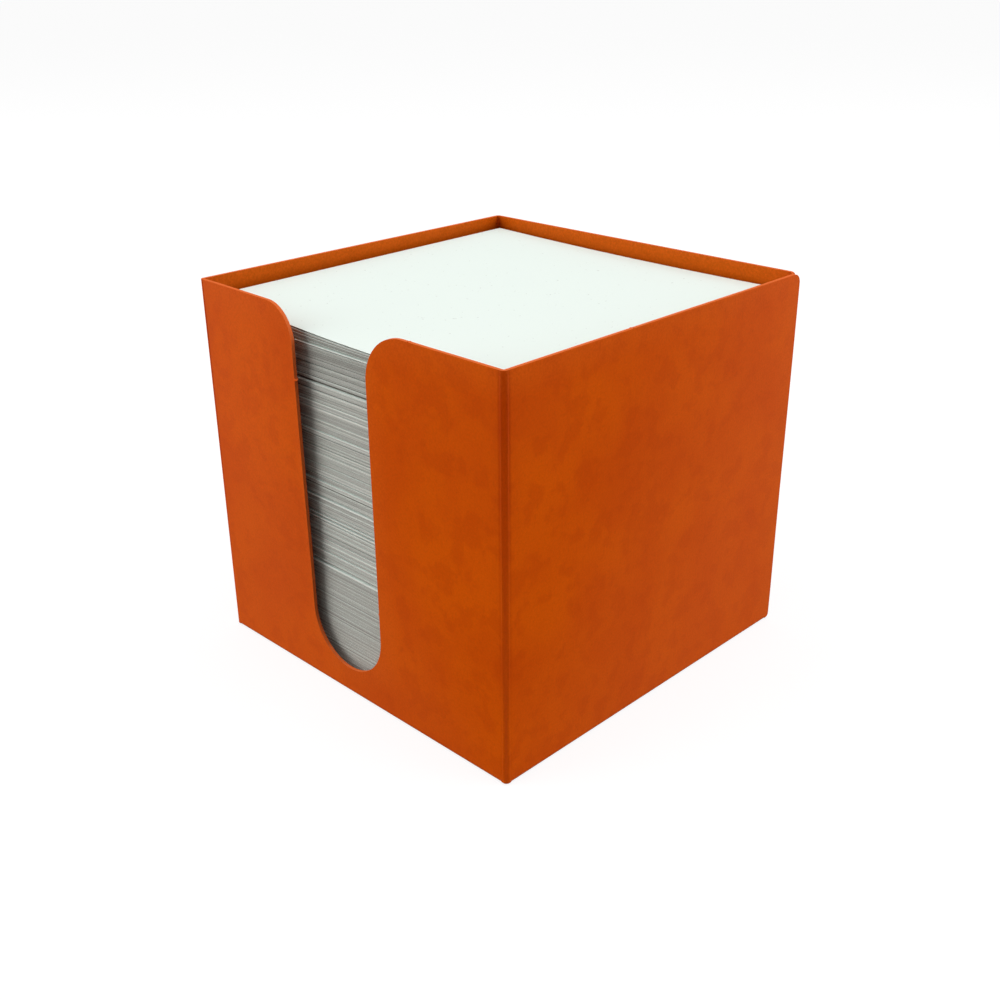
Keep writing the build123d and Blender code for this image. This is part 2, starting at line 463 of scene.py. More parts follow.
def cutBlank(outline, folds, alongLines, upLines):
    # folds: lines where the panel goes on into the next one, as (axis, place, side to trim or 0)
    mesh = bmesh.new()
    face = mesh.faces.new([mesh.verts.new((along, up, 0)) for along, up in outline])
    bmesh.ops.inset_region(mesh, faces=[face], thickness=blank["edgeBand"], use_even_offset=True,
                           use_boundary=True)

    def divide(axis, place, side=0):
        through, normal = Vector((0, 0, 0)), Vector((0, 0, 0))
        through[axis], normal[axis] = place, side or 1
        everything = mesh.verts[:] + mesh.edges[:] + mesh.faces[:]
        bmesh.ops.bisect_plane(mesh, geom=everything, dist=tiny, plane_co=through, plane_no=normal,
                               clear_outer=bool(side))

    for fold in folds:
        divide(*fold)
    for line in alongLines:
        divide(0, line)
    for line in upLines:
        divide(1, line)
    for part in bmesh.ops.extrude_face_region(mesh, geom=mesh.faces[:])["geom"]:
        if isinstance(part, bmesh.types.BMVert):
            part.co.z = board
    bmesh.ops.recalc_face_normals(mesh, faces=mesh.faces[:])
    mesh.normal_update()

    def onFold(face):
        return any(all(abs(vertex.co[axis] - place) < tiny for vertex in face.verts)
                   for axis, place, side in folds)

    def isCut(edge):
        flat = [abs(face.normal.z) > 0.9 for face in edge.link_faces]
        return flat.count(True) == 1 and not any(onFold(face) for face in edge.link_faces)

    edges = [edge for edge in mesh.edges if len(edge.link_faces) == 2 and isCut(edge)]
    bmesh.ops.bevel(mesh, geom=edges, offset=blank["cutRound"], segments=blank["roundSteps"],
                    profile=0.5, affect="EDGES", clamp_overlap=False)
    mesh.normal_update()
    for face in mesh.faces:
        face.smooth = True
        face.material_index = 1 if abs(face.normal.z) < 0.5 else 0
    return mesh


def fromCut(flat, outline, folds):  # distance from the nearest cut edge
    nearest = spare
    for first, second in zip(outline, outline[1:] + outline[:1]):
        if any(abs(first[axis] - place) < tiny and abs(second[axis] - place) < tiny
               for axis, place, side in folds):
            continue
        run = (second[0] - first[0], second[1] - first[1])
        share = ((flat.x - first[0]) * run[0] + (flat.y - first[1]) * run[1]) / (run[0] ** 2 + run[1] ** 2)
        share = min(max(share, 0.0), 1.0)
        gap = hypot(flat.x - first[0] - share * run[0], flat.y - first[1] - share * run[1])
        nearest = min(nearest, gap)
    return nearest


def raiseNicks(mesh, nicks):
    # A nick is the torn bridge that held the blank in its sheet, as (along, up, way out, height)
    for along, up, way, size in nicks:
        for vertex in mesh.verts:
            gapAlong, gapUp = vertex.co.x - along, vertex.co.y - up
            across = abs(gapAlong * way[1] - gapUp * way[0])
            outwards = abs(gapAlong * way[0] + gapUp * way[1])
            if across < 20 * tiny and outwards < blank["nickWidth"]:
                height = size * (1 - blank["nickTaper"] * vertex.co.z / board)
                vertex.co.x += way[0] * height
                vertex.co.y += way[1] * height


def sortMesh(mesh):  # the cutting leaves its points and faces in another order on each run
    for group in (mesh.verts, mesh.edges, mesh.faces):
        places = {part: sum((v.co for v in getattr(part, "verts", [part])), Vector())[:] for part in group}
        ranks = {part: rank for rank, part in enumerate(sorted(group, key=places.get))}
        group.sort(key=ranks.get)


def foldBlank(name, node, mesh, outline, folds, creases, place, nicks=()):
    # creases: (axis, middle, strength) of each crease that the panel has a part of
    raiseNicks(mesh, nicks)
    names = ("foldGap", "foldMark", "upright", "edge", "ply")
    layers = {key: mesh.verts.layers.float.new(key) for key in names}
    for vertex in mesh.verts:
        flat = vertex.co.copy()
        nearest, mark, score, upright = creaseMarksShadeAndLight["clean"], 0.0, 0.0, 0.0
        for axis, line, strength in creases:
            gap = abs(flat[axis] - line) / bendLength
            if gap <= nearest:
                nearest, mark, upright = gap, strength, 1.0 - axis
            score = max(score, 1 - smooth(0.0, 1.0, abs((gap - 1) * bendLength / blank["scoreWidth"] - 1)))
        climb = smooth(0.0, 1.0, flat.y / rimHeight)
        mark *= creaseMarksShadeAndLight["footMark"] + (1 - creaseMarksShadeAndLight["footMark"]) * climb
        score *= creaseMarksShadeAndLight["footScore"] + (1 - creaseMarksShadeAndLight["footScore"]) * climb
        vertex[layers["foldGap"]] = nearest
        vertex[layers["foldMark"]] = mark
        vertex[layers["upright"]] = upright
        vertex[layers["edge"]] = 1 - smooth(0.0, blank["edgeBand"], fromCut(flat, outline, folds))
        vertex[layers["ply"]] = flat.z / board
        depth = flat.z + blank["scoreDepth"] * score * (1 - flat.z / board)
        vertex.co = place(flat.x, flat.y, depth)
    bmesh.ops.recalc_face_normals(mesh, faces=mesh.faces[:])
    sortMesh(mesh)
    data = bpy.data.meshes.new(name)
    mesh.to_mesh(data)
    mesh.free()
    for material in boardMaterials:
        data.materials.append(material)
    data.set_sharp_from_angle(angle=radians(blank["sharpAngle"]))
    piece = bpy.data.objects.new(name, data)
    bpy.context.scene.collection.objects.link(piece)
    even = piece.modifiers.new("evenShade", "WEIGHTED_NORMAL")
    even.keep_sharp = True
    settle(piece)
    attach(piece, "holder")
    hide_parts(node)


def settle(piece):  # modifiers into the mesh
    graph = bpy.context.evaluated_depsgraph_get()
    made = bpy.data.meshes.new_from_object(piece.evaluated_get(graph), preserve_all_data_layers=True,
                                           depsgraph=graph)
    piece.modifiers.clear()
    piece.data = made


def wallEnds(wall):  # along the flat blank, from its left end to its right end as seen from outside
    left = wall["start"] + (outerRadius - bendLength if wall["foldStart"] else 0)
    right = wall["end"] - (outerRadius - bendLength if wall["foldEnd"] else 0)
    return left, right


def wallPlace(wall, bow):
    turn = Matrix.Rotation(radians(wall["turn"]), 3, "Z")
    left, right = wallEnds(wall)
    flatLeft = left + bendLength if wall["foldStart"] else left
    flatRight = right - bendLength if wall["foldEnd"] else right

    def place(along, up, depth):
        nearest = min(max(along, flatLeft), flatRight)
        angle = (along - nearest) / bendLength * pi / 4
        radius = outerRadius - depth
        if not wall["foldStart"] and along < flatLeft or not wall["foldEnd"] and along > flatRight:
            nearest, angle = along, 0.0
        across = outerRadius - radius * cos(angle) - wall["offset"] - bow(along, up)
        return turn @ Vector((nearest + radius * sin(angle), across, up))

    return place


def makeWall(name, node, wall, outline, bow, hinge=None, clearAlong=(), clearUp=(), nicks=()):
    left, right = wallEnds(wall)
    folds, creases, alongLines, upLines = [], [], [], []
    for folded, line, side in ((wall["foldStart"], left, -1), (wall["foldEnd"], right, 1)):
        if folded:
            folds.append((0, line, side))
            creases.append((0, line, 1.0))
            alongLines += bendLines(line, -side, bendLength) + scoreLines(line - side * bendLength, -side)
    if hinge:
        folds.append((1, hinge, 0))
        creases.append((1, hinge - bendLength, creaseMarksShadeAndLight["baseMark"]))
        upLines += scoreLines(hinge, 1)
    border = bendLength + blank["scoreBorder"] * blank["scoreWidth"]
    alongLines += evenLines(left + border, right - border, clearAlong)
    low, high = min(up for along, up in outline), max(up for along, up in outline)
    upLines += evenLines(low + border, high, clearUp)
    for along, up, way, size in nicks:
        lines, middle = (upLines, up) if way[0] else (alongLines, along)
        lines += [middle - blank["nickWidth"], middle, middle + blank["nickWidth"]]
    mesh = cutBlank(outline, folds, alongLines, upLines)
    foldBlank(name, node, mesh, outline, folds, creases, wallPlace(wall, bow), nicks)


def wallFoot(wall, hinge, footLow, footHigh):  # the lower outline, from left to right
    left, right = wallEnds(wall)
    first = left - spare if wall["foldStart"] else left
    last = right + spare if wall["foldEnd"] else right
    return [(first, cornerFoot), (footLow, cornerFoot), (footLow, hinge), (footHigh, hinge),
            (footHigh, cornerFoot), (last, cornerFoot)]


def calmWave(along, up, wall):  # the board is never quite flat between its creases
    left, right = wallEnds(wall)
    reach = blank["waveHold"]
    hold = smooth(0, reach, up)
    if wall["foldStart"]:
        hold *= smooth(0, reach, along - left - bendLength)
    if wall["foldEnd"]:
        hold *= smooth(0, reach, right - bendLength - along)
    size = blank["waveLength"]
    return hold * blank["waveHeight"] * noise.noise(Vector((along / size, up / size, wall["waveSeed"])))


def waveOf(wall):
    return lambda along, up: calmWave(along, up, wall)


frontPanel = {
    "start": -halfWidth,
    "end": halfWidth,
    "offset": halfDepth,
    "turn": 0,
    "waveSeed": 1.5,
    "foldStart": True,
    "foldEnd": True,
    "slotWidth": 23.2 * mm,
    "slotShift": -2.2 * mm,
    "slotFloor": 6.5 * mm,
    "leftMouthRadius": 8.0 * mm,
    "rightMouthRadius": 11.0 * mm,
    "arcSteps": 18,
    "leftWingBow": 0.6 * mm,  # outwards at the top of its free edge
    "rightWingBow": 0.1 * mm,
    "bowMargin": 5 * mm,
    "slotNicks": (72.7 * mm, 25.0 * mm),
    "nickHeights": (0.8 * mm, 0.3 * mm),
    "rimNick": 22.5 * mm,
}


def makeFrontPanel():
    wall = frontPanel
    left, right = wallEnds(wall)
    slotLeft = wall["slotShift"] - wall["slotWidth"] / 2
    slotRight = wall["slotShift"] + wall["slotWidth"] / 2
    leftMouth, rightMouth = wall["leftMouthRadius"], wall["rightMouthRadius"]
    floorRadius = wall["slotWidth"] / 2
    floorLevel = wall["slotFloor"] + floorRadius
    tabLow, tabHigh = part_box("front_base_tab")
    hinge = outerRadius
    steps = wall["arcSteps"]
    outline = wallFoot(wall, hinge, tabLow.x, tabHigh.x) + [(right + spare, rimHeight)]
    outline += arc(slotRight + rightMouth, rimHeight - rightMouth, rightMouth, 90, 180, steps)
    outline += arc(wall["slotShift"], floorLevel, floorRadius, 0, -180, 2 * steps)
    outline += arc(slotLeft - leftMouth, rimHeight - leftMouth, leftMouth, 0, 90, steps)
    outline += [(left - spare, rimHeight)]
    high, low = wall["slotNicks"]
    large, small = wall["nickHeights"]
    nicks = [(slotLeft, high, (1, 0), large), (slotLeft, low, (1, 0), small),
             (slotRight, low, (-1, 0), small), (wall["rimNick"], rimHeight, (0, 1), small)]

    def bow(along, up):
        climb = smooth(wall["slotFloor"], rimHeight, up)
        if along < wall["slotShift"]:
            swing = wall["leftWingBow"] * smooth(left + bendLength, slotLeft + wall["bowMargin"], along)
        else:
            swing = wall["rightWingBow"] * smooth(slotRight - wall["bowMargin"], right - bendLength,
                                                  slotRight + right - along)
        return swing * climb + calmWave(along, up, wall)

    makeWall("front_panel", "front_wall", wall, outline, bow, hinge, (slotLeft, slotRight),
             (wall["slotFloor"],), nicks)


rightPanel = {
    "start": -halfDepth,
    "end": halfDepth,
    "offset": halfWidth,
    "turn": 90,
    "waveSeed": 4.5,
    "foldStart": True,
    "foldEnd": False,
    "topRadius": 2.3 * mm,
    "topSteps": 8,
    "footRadius": 1.0 * mm,
    "footSteps": 6,
    "rimNick": -12.0 * mm,
    "nickHeight": 0.3 * mm,
}


def makeRightPanel():
    wall = rightPanel
    left, right = wallEnds(wall)
    tabLow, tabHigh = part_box("right_base_tab")
    hinge = outerRadius
    top, foot = wall["topRadius"], wall["footRadius"]
    outline = wallFoot(wall, hinge, tabLow.y, tabHigh.y)[:-1]
    outline += arc(right - foot, cornerFoot + foot, foot, -90, 0, wall["footSteps"])
    outline += arc(right - top, rimHeight - top, top, 0, 90, wall["topSteps"])
    outline += [(left - spare, rimHeight)]
    nicks = [(wall["rimNick"], rimHeight, (0, 1), wall["nickHeight"])]
    makeWall("right_panel", "right_wall", wall, outline, waveOf(wall), hinge, nicks=nicks)


leftPanel = {
    "start": -halfDepth,
    "end": halfDepth,
    "offset": halfWidth,
    "turn": 270,
    "waveSeed": 7.5,
    "foldStart": True,
    "foldEnd": True,
}


def makeLeftPanel():
    wall = leftPanel
    left, right = wallEnds(wall)
    tabLow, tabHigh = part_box("left_base_tab")
    hinge = outerRadius
    outline = wallFoot(wall, hinge, -tabHigh.y, -tabLow.y)
    outline += [(right + spare, rimHeight), (left - spare, rimHeight)]
    makeWall("left_panel", "left_wall", wall, outline, waveOf(wall), hinge)


rearPanel = {
    "start": -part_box("side_glue_flap")[1].x,
    "end": halfWidth,
    "offset": halfDepth,
    "turn": 180,
    "waveSeed": 10.5,
    "foldStart": True,
    "foldEnd": True,
    "seamRadius": 0.8 * mm,
    "seamSteps": 6,
}


def makeRearPanel():
    wall = rearPanel
    left, right = wallEnds(wall)
    baseLow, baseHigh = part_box("base_panel")
    hinge = baseLow.z + outerRadius
    radius = wall["seamRadius"]
    outline = wallFoot(wall, hinge, -baseHigh.x, -baseLow.x)
    outline += [(right + spare, rimHeight)]
    outline += arc(left + radius, rimHeight - radius, radius, 90, 180, wall["seamSteps"])
    outline += [(left - spare, rimHeight - radius)]
    makeWall("rear_panel", "rear_wall", wall, outline, waveOf(wall), hinge)


flapPanel = {
    "start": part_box("side_glue_flap")[0].y,
    "end": halfDepth,
    "offset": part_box("side_glue_flap")[1].x,
    "turn": 90,
    "foldStart": False,
    "foldEnd": True,
    "taper": 15,
}


def makeFlap():
    wall = flapPanel
    left, right = wallEnds(wall)
    low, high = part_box("side_glue_flap")
    inset = (wall["end"] - outerRadius - wall["start"]) * tan(radians(wall["taper"]))
    crease = right - bendLength
    outline = [(left, low.z + inset), (crease, low.z), (right + spare, low.z), (right + spare, high.z),
               (crease, high.z), (left, high.z - inset)]
    makeWall("side_flap", "side_glue_flap", wall, outline, lambda along, up: 0.0, clearUp=(low.z + inset,))


hingedPanels = {  # node, turn of its wall from the front, and taper of its ends, in degrees
    "base_board": ("base_panel", 180, 0),
    "front_tuck_tab": ("front_base_tab", 0, 45),
    "right_tuck_tab": ("right_base_tab", 90, 45),
    "left_tuck_tab": ("left_base_tab", 270, 45),
}


def makeHingedPanel(name, node, turn, taper):
    low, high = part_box(node)
    spin = Matrix.Rotation(radians(turn), 3, "Z")
    corners = [spin.inverted() @ low, spin.inverted() @ high]
    first, last = sorted(corner.x for corner in corners)
    offset = -min(corner.y for corner in corners)
    reach = max(corner.y for corner in corners) + offset - outerRadius
    bend = 2 * bendLength
    inset = reach * tan(radians(taper))
    outline = [(first, -spare), (last, -spare), (last, bend), (last - inset, bend + reach),
               (first + inset, bend + reach), (first, bend)]
    upLines = bendLines(0, 1, bend) + scoreLines(bend, 1)
    upLines += evenLines(bend + blank["scoreBorder"] * blank["scoreWidth"], bend + reach)
    alongLines = evenLines(first, last)
    folds = [(1, 0.0, -1)]
    mesh = cutBlank(outline, folds, alongLines, upLines)

    def place(along, up, depth):
        radius = outerRadius - depth
        angle = min(up / bend, 1.0) * pi / 2
        beyond = max(up - bend, 0.0)
        inwards = outerRadius - radius * cos(angle) + beyond
        return spin @ Vector((along, inwards - offset, low.z + outerRadius - radius * sin(angle)))

    foldBlank(name, node, mesh, outline, folds, [(1, bendLength, creaseMarksShadeAndLight["baseMark"])], place)


makeFrontPanel()
makeRightPanel()
makeLeftPanel()
makeRearPanel()
makeFlap()
for name, (node, turn, taper) in hingedPanels.items():
    makeHingedPanel(name, node, turn, taper)
print("board folded")

for name in ("side_seam_glue", "front_tab_glue", "right_tab_glue", "left_tab_glue"):
    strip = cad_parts[name]
    strip.data.materials.clear()
    strip.data.materials.append(glueMaterial)
print("glue finished")


# The pile of loose leaves. Every leaf is there, on a Geometry Nodes tree that adds one packet at a time

leafFile = {
    "leafThickness": 0.1 * mm,
    "frontCurl": 0.8,  # the top leaves rise by this times the square of the distance, in metres
    "frontFlat": 12 * mm,
    "rearCurl": 0.255,
    "rearFlat": 20 * mm,
    "singleTone": 0.42,  # how far the tones of leaves and of small bundles range
    "bundleTone": 0.24,
    "grooveShade": 1.5,  # painted shade on the leaves in a groove, and painted highlight on the leaves under it
    "underGrooveHighlight": 0.9,
    "grooveRarity": 1.6,  # the higher, the fewer deep grooves
    "smallStart": 0.4,  # how many leaves into a bundle the pile starts
    "largeStart": 3.1,
    "leafTurn": 0.0008,  # radians
    # Inputs of the tree, for each packet. Single leaves and bundles of them slide, the last leaves make the
    # lip and the first ones the gap, and Lines is how much the lines of the edges show. The lines come from a
    # tone that differs at random, and from painted shade and highlight at the grooves. The lip and the gap
    # are painted lighter and darker
    "packets": {
        "leaf_packet_1": {
            "Leaf Slide": 0.03 * mm, "Small Bundle": 8.3, "Small Slide": 0.03 * mm, "Large Slide": 0.05 * mm,
            "Packet Shift": 0.1 * mm, "Lip": 0.1 * mm, "Groove": 0.08 * mm, "Lines": 0.16, "Tone": 0.02,
            "Seed": 11},
        "leaf_packet_2": {
            "Leaf Slide": 0.04 * mm, "Small Bundle": 10.7, "Small Slide": 0.1 * mm, "Large Slide": 0.05 * mm,
            "Lip": 0.15 * mm, "Gap": 0.6 * mm, "Gap Leaves": 6.0, "Groove": 0.6 * mm, "Lines": 0.7,
            "Seed": 12},
        "leaf_packet_3": {
            "Leaf Slide": 0.04 * mm, "Small Bundle": 9.3, "Small Slide": 0.12 * mm, "Large Slide": 0.05 * mm,
            "Packet Shift": 0.05 * mm, "Lip": 0.15 * mm, "Gap": 0.6 * mm, "Gap Leaves": 5.0,
            "Groove": 0.6 * mm, "Lines": 0.8, "Seed": 13},
        "leaf_packet_4": {
            "Leaf Slide": 0.05 * mm, "Small Bundle": 13.1, "Small Slide": 0.14 * mm, "Large Slide": 0.08 * mm,
            "Packet Shift": 0.05 * mm, "Lip": 0.25 * mm, "Gap": 0.6 * mm, "Gap Leaves": 5.0,
            "Groove": 0.7 * mm, "Lines": 0.95, "Seed": 14},
        "leaf_packet_5": {
            "Leaf Slide": 0.05 * mm, "Small Bundle": 13.3, "Small Slide": 0.14 * mm, "Large Slide": 0.08 * mm,
            "Lip": 0.2 * mm, "Gap": 0.4 * mm, "Gap Leaves": 7.0, "Groove": 0.7 * mm, "Lines": 0.85,
            "Tone": 0.12, "Seed": 15},
        "leaf_packet_6": {
            "Leaf Slide": 0.06 * mm, "Small Bundle": 5.3, "Small Slide": 0.12 * mm, "Lip Leaves": 0.0,
            "Gap": 0.5 * mm, "Gap Leaves": 3.0, "Groove": 0.4 * mm, "Lines": 0.5, "Tone": 0.14, "Seed": 16,
            "Curl High": 1.0, "Grid Along": 7, "Grid Across": 4},
        "top_leaf": {
            "Small Bundle": 5.0, "Lip Leaves": 0.0, "Lines": 0.0, "Tone": -0.1, "Seed": 17,
            "Curl Low": 1.0, "Curl High": 1.0, "Grid Along": 31, "Grid Across": 31},
    },
}

# Each draw has a number of its own, which is added to the seed
draws = {"leaf": 1, "small": 2, "large": 3, "groove": 4, "singleTone": 7, "turn": 8, "bundleTone": 9,
         "sideways": 100}


def makeLeafTree():
    look = leafFile
    takes = {
        "Packets Below": "NodeSocketGeometry",
        "Leaves": 10,
        "Leaf Width": 90 * mm,
        "Leaf Depth": 90 * mm,
        "Leaf Thickness": 0.1 * mm,
        "Grid Along": 2,
        "Grid Across": 2,
        "Middle": (0, 0, 0),
        "Front Low": 0.0,
        "Rear Low": 0.0,
        "Front High": 1 * mm,
        "Rear High": 1 * mm,
        "Curl Low": 0.0,
        "Curl High": 0.0,
        "Front Curl": 0.0,
        "Front Flat": 0.0,
        "Rear Curl": 0.0,
        "Rear Flat": 0.0,
        "Leaf Slide": 0.0,
        "Small Bundle": 5.3,
        "Small Slide": 0.0,
        "Large Bundle": 13.7,
        "Large Slide": 0.0,
        "Packet Shift": 0.0,
        "Lip Leaves": 3.0,
        "Lip": 0.0,
        "Gap Leaves": 0.0,
        "Gap": 0.0,
        "Groove Leaves": 2.6,
        "Groove": 0.0,
        "Lines": 0.5,
        "Tone": 0.0,
        "Seed": 1,
        "Face Material": "NodeSocketMaterial",
        "Edge Material": "NodeSocketMaterial",
    }
    gives = {"Pile": "NodeSocketGeometry"}
    tree, takes, gives = newGroup("leafPile", "GeometryNodeTree", takes, gives)

    def store(geometry, name, value, kind="FLOAT"):
        inputs = {"Geometry": geometry, "Name": name, "Value": value}
        node = addNode(tree, "GeometryNodeStoreNamedAttribute", inputs, data_type=kind, domain="POINT")
        return node.outputs[0]

    def read(name, kind="FLOAT"):
        return addNode(tree, "GeometryNodeInputNamedAttribute", {"Name": name}, data_type=kind).outputs[0]

    def maths(operation):
        return lambda first, second: calc(tree, operation, first, second)

    add, subtract, multiply, divide = (maths(kind) for kind in ("ADD", "SUBTRACT", "MULTIPLY", "DIVIDE"))

    def chance(identity, low, high, draw):
        node = tree.nodes.new("FunctionNodeRandomValue")
        for key, value in (("Min", low), ("Max", high)):
            join(tree, value, [s for s in node.inputs if s.name == key and s.type == "VALUE"][0])
        join(tree, identity, node.inputs["ID"])
        join(tree, add(takes["Seed"], draw), node.inputs["Seed"])
        return [s for s in node.outputs if s.type == "VALUE"][0]

    def blend(share, first, second):
        return add(first, multiply(share, subtract(second, first)))

    index = tree.nodes.new("GeometryNodeInputIndex").outputs[0]
    row = addNode(tree, "GeometryNodeMeshLine", {"Count": takes["Leaves"], "Offset": (0, 0, 0)}).outputs[0]

    # How far each leaf, small bundle and large bundle stands out of the pile
    def bundle(size, start):
        return calc(tree, "FLOOR", divide(add(index, start), size))

    smallBundle = bundle(takes["Small Bundle"], look["smallStart"])
    largeBundle = bundle(takes["Large Bundle"], look["largeStart"])
    slides = []
    for shift in (draws["sideways"], 0):
        single = multiply(chance(index, -1.0, 1.0, shift + draws["leaf"]), takes["Leaf Slide"])
        small = multiply(chance(smallBundle, -1.0, 1.0, shift + draws["small"]), takes["Small Slide"])
        large = multiply(chance(largeBundle, -1.0, 1.0, shift + draws["large"]), takes["Large Slide"])
        slides.append(add(add(single, small), large))

    # The last leaves of a packet stand out as a lip, and its first leaves lie back in a gap
    fromTop = subtract(takes["Leaves"], index)
    isLip = calc(tree, "LESS_THAN", fromTop, add(takes["Lip Leaves"], 0.5))
    isGap = calc(tree, "LESS_THAN", index, takes["Gap Leaves"])
    lip = multiply(isLip, takes["Lip"])
    gap = multiply(isGap, takes["Gap"])

    # The first leaves of a small bundle lie back in a groove and are painted darker, as painted shade, and
    # the last ones under a groove are painted lighter, as painted highlight
    phase = subtract(add(index, look["smallStart"]), multiply(smallBundle, takes["Small Bundle"]))
    rarity = look["grooveRarity"]
    depth = calc(tree, "POWER", chance(smallBundle, 0.0, 1.0, draws["groove"]), rarity)
    depthAbove = calc(tree, "POWER", chance(add(smallBundle, 1.0), 0.0, 1.0, draws["groove"]), rarity)
    isFirst = multiply(calc(tree, "LESS_THAN", phase, takes["Groove Leaves"]), depth)
    isLast = calc(tree, "GREATER_THAN", phase, subtract(takes["Small Bundle"], takes["Groove Leaves"]))
    isLast = multiply(isLast, depthAbove)
    groove = multiply(isFirst, takes["Groove"])
    slideAcross = subtract(subtract(slides[1], takes["Packet Shift"]), lip)
    slideAcross = add(slideAcross, add(gap, groove))
    slide = addNode(tree, "ShaderNodeCombineXYZ", {"X": slides[0], "Y": slideAcross}).outputs[0]
    row = store(row, "leafNumber", index)
    row = store(row, "leafSlide", slide, "FLOAT_VECTOR")
    single = multiply(chance(index, -0.5, 0.5, draws["singleTone"]), look["singleTone"])
    grouped = multiply(chance(smallBundle, -0.5, 0.5, draws["bundleTone"]), look["bundleTone"])
    # Painted shade on the groove leaves, and painted highlight on the leaves under a groove
    grooveShadeAndHighlight = subtract(multiply(isFirst, look["grooveShade"]), multiply(isLast, look["underGrooveHighlight"]))
    tone = multiply(add(add(single, grouped), grooveShadeAndHighlight), takes["Lines"])
    # Painted shade on the gap leaves and painted highlight on the lip leaves, over each leaf's own tone
    tone = add(add(add(tone, subtract(isGap, isLip)), 0.5), takes["Tone"])
    row = store(row, "leafToneShadeAndHighlight", rescale(tree, tone, 0.0, 1.0))
    turn = look["leafTurn"]
    row = store(row, "leafTurn", chance(index, -turn, turn, draws["turn"]))

    inputs = {"X": takes["Leaf Width"], "Y": takes["Leaf Depth"], "Z": takes["Leaf Thickness"]}
    size = addNode(tree, "ShaderNodeCombineXYZ", inputs).outputs[0]
    inputs = {"Size": size, "Vertices X": takes["Grid Along"], "Vertices Y": takes["Grid Across"],
              "Vertices Z": 2}
    leaf = addNode(tree, "GeometryNodeMeshCube", inputs).outputs[0]
    placed = addNode(tree, "GeometryNodeInstanceOnPoints", {"Points": row, "Instance": leaf}).outputs[0]
    loose = addNode(tree, "GeometryNodeRealizeInstances", {"Geometry": placed}).outputs[0]

    # Each point goes from the middle of the leaf to its place in the pile
    def parts(vector):
        return addNode(tree, "ShaderNodeSeparateXYZ", {0: vector}).outputs

    position = parts(tree.nodes.new("GeometryNodeInputPosition").outputs[0])
    offset = parts(read("leafSlide", "FLOAT_VECTOR"))
    middle = parts(takes["Middle"])
    number = read("leafNumber")
    share = divide(number, takes["Leaves"])
    nextShare = divide(add(number, 1.0), takes["Leaves"])
    rearward = add(divide(position["Y"], takes["Leaf Depth"]), 0.5)
    along = add(position["X"], middle["X"])

    def curlAt(flat, amount):
        gap = subtract(along, flat)
        return multiply(multiply(gap, gap), amount)

    curl = blend(rearward, curlAt(takes["Front Flat"], takes["Front Curl"]),
                 curlAt(takes["Rear Flat"], takes["Rear Curl"]))
    curl = multiply(curl, blend(nextShare, takes["Curl Low"], takes["Curl High"]))
    low = blend(rearward, takes["Front Low"], takes["Rear Low"])
    high = blend(rearward, takes["Front High"], takes["Rear High"])
    level = add(blend(share, low, high), curl)
    height = add(level, add(position["Z"], multiply(takes["Leaf Thickness"], 0.5)))
    turn = read("leafTurn")
    outX = subtract(add(along, offset["X"]), multiply(turn, position["Y"]))
    outY = add(add(position["Y"], middle["Y"]), add(offset["Y"], multiply(turn, position["X"])))
    target = addNode(tree, "ShaderNodeCombineXYZ", {"X": outX, "Y": outY, "Z": height}).outputs[0]

    normal = parts(tree.nodes.new("GeometryNodeInputNormal").outputs[0])
    isEdge = addNode(tree, "FunctionNodeCompare", {0: calc(tree, "ABSOLUTE", normal["Z"]), 1: 0.5},
                     data_type="FLOAT", operation="LESS_THAN").outputs[0]
    inputs = {"Geometry": loose, "Material": takes["Face Material"]}
    faced = addNode(tree, "GeometryNodeSetMaterial", inputs).outputs[0]
    inputs = {"Geometry": faced, "Selection": isEdge, "Material": takes["Edge Material"]}
    edged = addNode(tree, "GeometryNodeSetMaterial", inputs).outputs[0]
    moved = addNode(tree, "GeometryNodeSetPosition", {"Geometry": edged, "Position": target}).outputs[0]
    pile = tree.nodes.new("GeometryNodeJoinGeometry")
    tree.links.new(moved, pile.inputs[0])
    tree.links.new(takes["Packets Below"], pile.inputs[0])
    join(tree, pile.outputs[0], gives["Pile"])
    return tree


leafTree = makeLeafTree()


def addPacket(piece, node, leafLevels):
    modifier = piece.modifiers.new(node, "NODES")
    modifier.node_group = leafTree
    sockets = leafTree.interface.items_tree
    named = {item.name: item.identifier for item in sockets if item.in_out == "INPUT"}
    low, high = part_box(node)
    frontLow, rearLow, frontHigh, rearHigh = leafLevels
    thickness = leafFile["leafThickness"]
    values = {
        "Leaves": max(1, round((frontHigh - frontLow) / thickness)),
        "Leaf Width": high.x - low.x,
        "Leaf Depth": high.y - low.y,
        "Leaf Thickness": thickness,
        "Middle": ((low.x + high.x) / 2, (low.y + high.y) / 2, 0.0),
        "Front Low": frontLow,
        "Rear Low": rearLow,
        "Front High": frontHigh,
        "Rear High": rearHigh,
        "Front Curl": leafFile["frontCurl"],
        "Front Flat": leafFile["frontFlat"],
        "Rear Curl": leafFile["rearCurl"],
        "Rear Flat": leafFile["rearFlat"],
        "Face Material": paperMaterial,
        "Edge Material": paperEdgeShadedMaterial,
        **leafFile["packets"][node],
    }
    for label, value in values.items():
        modifier[named[label]] = value
    return values["Leaves"]


